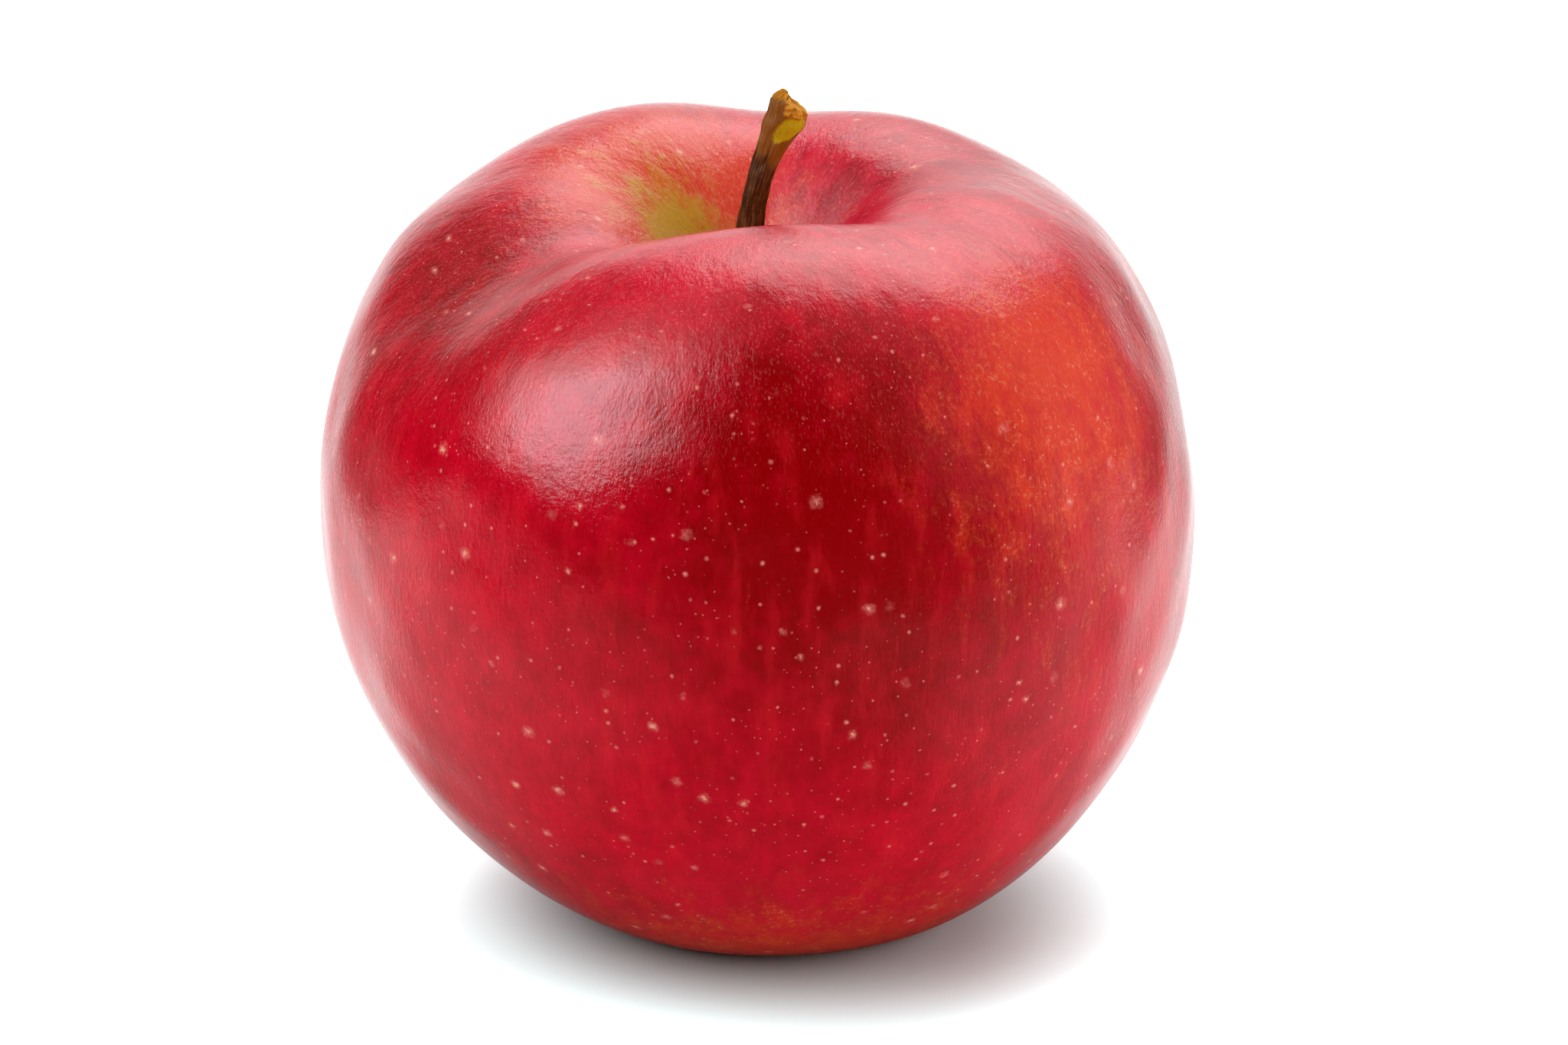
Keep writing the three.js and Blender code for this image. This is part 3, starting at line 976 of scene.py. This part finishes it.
def stamen_mesh(random):
    """Dried stamens: thin bent tubes that leave the floor of the basin together, wander apart
    on the way down and end in a small shrivelled knob."""
    rows, columns = STAMEN_GRID
    along = (1 - np.cos(math.pi * np.linspace(0, 1, rows))) / 2
    azimuth = -np.arange(columns) * TURN / columns
    core = core_at(FLOWER_HEIGHT)
    grids = []
    for index in range(STAMEN_COUNT):
        turn = index * STAMEN_TURN
        spread = STAMEN_SPREAD * math.sqrt((index + 0.5) / STAMEN_COUNT)
        low = STAMEN_TIP + random.uniform(0, 0.9)
        bend = random.uniform(-0.25, 0.25, size=2)
        bow = np.sin(math.pi * along)
        r = spread * (0.55 + 0.45 * along)
        x = core[0] + r * math.cos(turn) + bend[0] * bow
        y = core[1] + r * math.sin(turn) + bend[1] * bow
        z = STAMEN_FOOT + (low - STAMEN_FOOT) * along
        knob = KNOB_WIDTH * np.exp(-(((along - 0.93) / 0.06) ** 2))
        width = (STAMEN_WIDTH + knob) * np.sqrt(np.minimum(np.minimum(along, 1 - along) * 25, 1))
        width = width[:, None]
        points = np.stack(np.broadcast_arrays(
            x[:, None] + width * np.cos(azimuth), y[:, None] - width * np.sin(azimuth),
            z[:, None]), axis=-1)
        grain = np.stack(np.broadcast_arrays(
            0.2 * np.cos(azimuth)[None, :] + index, 0.2 * np.sin(azimuth)[None, :],
            4 * along[:, None]), axis=-1)
        grids.append(((points + SHIFT) * MM, {"grain": grain}))
    return joined(grids, "dried_stamens")


def dried_material(name, brown, pale, roughness):
    """Shrivelled brown plant matter: fibres along the piece and a dull crumpled surface."""
    material, nodes, shader, place = new_material(name)
    grain = nodes.field("grain", "Vector")
    streaks = shared("apple_streaks", build_streaks)
    relief = shared("apple_relief", build_relief)
    fibres = nodes.group(streaks, Place=grain, Width=0.22, Length=3, Contrast=3).outputs[0]
    mottle = nodes.noise(place, 1.4, 4, 0.7)
    amount = nodes.times(nodes.ramp(fibres, 0.4, 0.95), nodes.ramp(mottle, 0.3, 0.7))
    nodes.put(shader.inputs["Base Color"], nodes.blend(amount, brown, pale))
    nodes.put(shader.inputs["Roughness"], nodes.ramp(mottle, 0.3, 0.7, roughness, 0.95))
    height = nodes.group(
        relief, Place=place, Grain_size=0.15, Grain_depth=0.05, Dent_size=0.8, Dent_depth=0.12
    ).outputs[0]
    raise_normal(nodes, shader, nodes.times_plus(fibres, 0.05, height))
    return material


class APPLE_OT_skin(bpy.types.Operator):
    """Build the skin over the fruit"""

    bl_idname = "apple.skin"
    bl_label = "Skin"

    def execute(self, context):
        settings = context.scene.apple_skin
        place_piece(skin_mesh(settings), skin_material(settings), "fruit")
        return {"FINISHED"}


class APPLE_OT_stem(bpy.types.Operator):
    """Build the stem"""

    bl_idname = "apple.stem"
    bl_label = "Stem"

    def execute(self, context):
        settings = context.scene.apple_stem
        place_piece(stem_mesh(settings), stem_material(settings), "stem")
        return {"FINISHED"}


class APPLE_OT_sepals(bpy.types.Operator):
    """Build the five dried sepals in the basin"""

    bl_idname = "apple.sepals"
    bl_label = "Sepals"

    def execute(self, context):
        settings = context.scene.apple_flower
        random = np.random.default_rng(settings.seed)
        material = dried_material("dried_leaf", settings.leaf, settings.pale_leaf, 0.75)
        for index in range(SEPAL_COUNT):
            mesh = sepal_mesh(index, random)
            place_piece(mesh, material, f"sepal_{index + 1}")
        return {"FINISHED"}


class APPLE_OT_stamens(bpy.types.Operator):
    """Build the dried stamens among the sepals"""

    bl_idname = "apple.stamens"
    bl_label = "Stamens"

    def execute(self, context):
        settings = context.scene.apple_flower
        mesh = stamen_mesh(np.random.default_rng(settings.seed + 1))
        material = dried_material("dried_stamen", settings.stamen, settings.pale_stamen, 0.7)
        place_piece(mesh, material, "stamen_tuft")
        return {"FINISHED"}


# ---- Stage ----

CAMERA_TARGET = Vector((2.5, -0.05, 36.85)) * MM
SENSOR_WIDTH = 36.0
LENS = 175.15
LIGHT_HEIGHT = 35 * MM

# Softboxes: bearing in degrees from the camera's side, positive to the right, angle above the
# horizon, distance, width and height in metres, radiance and outline.
SOFTBOXES = {
    "key": (-66, 38, 0.6, 0.7, 0.54, 2.5, "ELLIPSE"),
    "sheen": (-58, 31, 0.58, 0.36, 0.36, 5.4, "ELLIPSE"),
    "fill": (68, 15, 0.8, 0.9, 0.7, 2.6, "RECTANGLE"),
}
# The sheen is seen only in gloss, and the fill lights the scene without showing in gloss.
GLOSS_ONLY = ("sheen",)
SHEEN_TINT = (1, 0.85, 1)
HIDDEN_IN_GLOSS = ("fill",)
# Soft glows of the room: bearing, angle above the horizon, the angles from its middle where it
# starts to fade and where it ends, and radiance.
GLOWS = [
    (-84, 50, 22, 40, 1.2),
    (161, 49, 19, 29, 4.1),
]
# The floor: its near left and far right corners, its front edge as gloss shows it, the middle
# of the contact shadow, how much light it throws back, and its colour to the camera near and
# far from there: grey near as a painted contact shadow, with less red against the apple's red
# bounce, and brighter than white far off as painted light that hides the cast shadows.
FLOOR_CORNERS = (-0.66, -0.6), (1.2, 1.2)
FLOOR_FRONT = -0.135
SHADOW_MIDDLE = (3 * MM, 0, 0)
BOUNCE = 0.95
NEAR_PAINTED_SHADOW = (0.46, 0.63, 0.63)
FAR_PAINTED_LIGHT = (2.4, 3.2, 3.2)


def heading(bearing, height):
    """The unit vector at a bearing from the camera's side and an angle above the horizon."""
    across, up = bearing * DEGREE, height * DEGREE
    return Vector((
        math.sin(across) * math.cos(up), -math.cos(across) * math.cos(up), math.sin(up),
    ))


def area_light(name, bearing, height, distance, width, depth, radiance, shape):
    """A softbox that faces the apple, seen in its gloss but not by the camera."""
    light = bpy.data.lights.new(name, "AREA")
    light.shape = shape
    light.size = width
    light.size_y = depth
    area = width * depth * (math.pi / 4 if shape == "ELLIPSE" else 1)
    light.energy = math.pi * area * radiance
    lamp = bpy.data.objects.new(name, light)
    bpy.context.scene.collection.objects.link(lamp)
    towards = heading(bearing, height)
    lamp.location = towards * distance + Vector((0, 0, LIGHT_HEIGHT))
    lamp.rotation_mode = "QUATERNION"
    lamp.rotation_quaternion = towards.to_track_quat("Z", "Y")
    lamp.visible_camera = False
    lamp.visible_glossy = name not in HIDDEN_IN_GLOSS
    lamp.visible_diffuse = name not in GLOSS_ONLY
    if name in GLOSS_ONLY:
        light.color = SHEEN_TINT
    return lamp


def make_camera(settings):
    data = bpy.data.cameras.new("camera")
    camera = bpy.data.objects.new("camera", data)
    bpy.context.scene.collection.objects.link(camera)
    up = settings.camera_height
    back = Vector((0, -math.cos(up), math.sin(up)))
    camera.location = CAMERA_TARGET + back * settings.camera_distance
    camera.rotation_euler = (math.pi / 2 - up, 0, 0)
    data.sensor_width = SENSOR_WIDTH
    data.lens = LENS
    data.clip_start = 0.01
    bpy.context.scene.camera = camera


def make_floor():
    """A white tabletop. The camera sees it grey near the apple as a painted contact shadow and
    brighter than white further out as painted light; it is bright as bounce. In the apple's gloss
    it is a duller glow of painted reflection, dim in front, in both far corners behind and near
    the apple's foot as painted shadow, and it ends in front as a real table does."""
    mesh = bpy.data.meshes.new("floor")
    (left, near), (right, far) = FLOOR_CORNERS
    corners = [(left, near, 0), (right, near, 0), (right, far, 0), (left, far, 0)]
    mesh.from_pydata(corners, [], [(0, 1, 2, 3)])
    floor = bpy.data.objects.new("floor", mesh)
    bpy.context.scene.collection.objects.link(floor)
    material = bpy.data.materials.new("floor")
    material.use_nodes = True
    nodes = Nodes(material.node_tree)
    nodes.tree.nodes.clear()
    path = nodes.add("ShaderNodeLightPath").outputs
    place = nodes.add("ShaderNodeTexCoord").outputs["Object"]
    axes = nodes.add("ShaderNodeSeparateXYZ", Vector=place).outputs
    aside = nodes.math("ABSOLUTE", axes["X"])
    # The floor glows in gloss only, a painted reflection: dim in front and in both far corners
    # behind, and darker near the apple's foot as painted shadow.
    gloss = nodes.ramp(aside, 15 * MM, 75 * MM, 0.08, 0.72)
    front = nodes.ramp(axes["Y"], -110 * MM, -20 * MM, 0.35, 1)
    behind = nodes.ramp(axes["Y"], -20 * MM, 30 * MM, 0, 1.4)
    gloss = nodes.larger(nodes.times(gloss, front), behind)
    outside = nodes.ramp(aside, 100 * MM, 200 * MM, 0, 0.8)
    corner = nodes.times(outside, nodes.ramp(axes["Y"], 20 * MM, 120 * MM))
    slant = nodes.math("DIVIDE", axes["Y"], aside)
    corner = nodes.times(corner, nodes.ramp(slant, 1.1, 1.6, 1, 0))
    gloss = nodes.times(gloss, nodes.minus(1, corner))
    away = nodes.vector("SUBTRACT", place, SHADOW_MIDDLE)
    away = nodes.vector("LENGTH", away, output="Value")
    # Painted shadow of the apple in the floor's glow, near its foot.
    gloss = nodes.times(gloss, nodes.ramp(away, 10 * MM, 36 * MM, 0.1, 1))
    table = nodes.ramp(axes["Y"], FLOOR_FRONT, FLOOR_FRONT + 10 * MM)
    painted_reflection = nodes.add("ShaderNodeEmission", Strength=nodes.times(gloss, table))
    # Painted contact shadow and painted light: grey near the apple's foot, and brighter than white
    # further out so that the cast shadows vanish.
    white = nodes.blend(nodes.ramp(away, 13 * MM, 54 * MM), NEAR_PAINTED_SHADOW, FAR_PAINTED_LIGHT)
    shade = nodes.blend(path["Is Camera Ray"], (BOUNCE, BOUNCE, BOUNCE), white)
    matte = nodes.add("ShaderNodeBsdfDiffuse", Color=shade)
    surface = nodes.mix_shaders(path["Is Glossy Ray"], matte.outputs[0], painted_reflection.outputs[0])
    nodes.add("ShaderNodeOutputMaterial", Surface=surface)
    mesh.materials.append(material)


def make_world():
    """A white backdrop for the camera. Everything else sees a room that is dark in front and
    on the left, and brighter on the right and behind, with a few soft glows."""
    world = bpy.data.worlds.new("studio")
    bpy.context.scene.world = world
    world.use_nodes = True
    nodes = Nodes(world.node_tree)
    nodes.tree.nodes.clear()
    seen = nodes.add("ShaderNodeLightPath").outputs["Is Camera Ray"]
    direction = nodes.add("ShaderNodeTexCoord").outputs["Generated"]
    axes = nodes.add("ShaderNodeSeparateXYZ", Vector=direction).outputs
    right = nodes.ramp(axes["Y"], -0.8, 0.15, 0, 0.75)
    right = nodes.times(right, nodes.ramp(axes["Y"], 0.3, 0.8, 1, 0.35))
    right = nodes.times(right, nodes.ramp(axes["X"], 0, 0.35))
    light = nodes.larger(right, nodes.ramp(axes["Y"], 0.68, 0.95, 0, 1.3))
    for bearing, height, inner, outer, radiance in GLOWS:
        middle = heading(bearing, height)
        nearness = nodes.vector("DOT_PRODUCT", direction, middle, output="Value")
        limits = math.cos(outer * DEGREE), math.cos(inner * DEGREE)
        glow = nodes.ramp(nearness, *limits, 0, radiance)
        light = nodes.larger(light, glow)
    room = nodes.add("ShaderNodeBackground", Strength=light)
    backdrop = nodes.add("ShaderNodeBackground", Color=(1, 1, 1))
    surface = nodes.mix_shaders(seen, room.outputs[0], backdrop.outputs[0])
    nodes.add("ShaderNodeOutputWorld", Surface=surface)


class APPLE_OT_stage(bpy.types.Operator):
    """Build the floor, the lights and the camera"""

    bl_idname = "apple.stage"
    bl_label = "Stage"

    def execute(self, context):
        settings = context.scene.apple_stage
        make_camera(settings)
        make_floor()
        make_world()
        for name, softbox in SOFTBOXES.items():
            area_light(name, *softbox).data.energy *= settings.brightness
        context.scene.view_settings.view_transform = "Standard"
        return {"FINISHED"}


class APPLE_PT_builder(bpy.types.Panel):
    """Lists the apple's pieces"""

    bl_idname = "APPLE_PT_builder"
    bl_label = "Apple"
    bl_space_type = "VIEW_3D"
    bl_region_type = "UI"
    bl_category = "Apple"

    def draw(self, context):
        for step in STEPS:
            self.layout.operator(step.bl_idname)


STEPS = (APPLE_OT_stage, APPLE_OT_skin, APPLE_OT_stem, APPLE_OT_sepals, APPLE_OT_stamens)
SETTINGS = {
    "apple_skin": AppleSkinSettings,
    "apple_stem": AppleStemSettings,
    "apple_flower": AppleFlowerSettings,
    "apple_stage": AppleStageSettings,
}
CLASSES = (*SETTINGS.values(), *STEPS, APPLE_PT_builder)


def register():
    for each in CLASSES:
        bpy.utils.register_class(each)
    for name, settings in SETTINGS.items():
        setattr(bpy.types.Scene, name, PointerProperty(type=settings))


def unregister():
    for name in SETTINGS:
        delattr(bpy.types.Scene, name)
    for each in reversed(CLASSES):
        bpy.utils.unregister_class(each)


def main():
    register()
    bpy.ops.apple.stage()
    bpy.ops.apple.skin()
    bpy.ops.apple.stem()
    bpy.ops.apple.sepals()
    bpy.ops.apple.stamens()


if __name__ == "__main__":
    main()
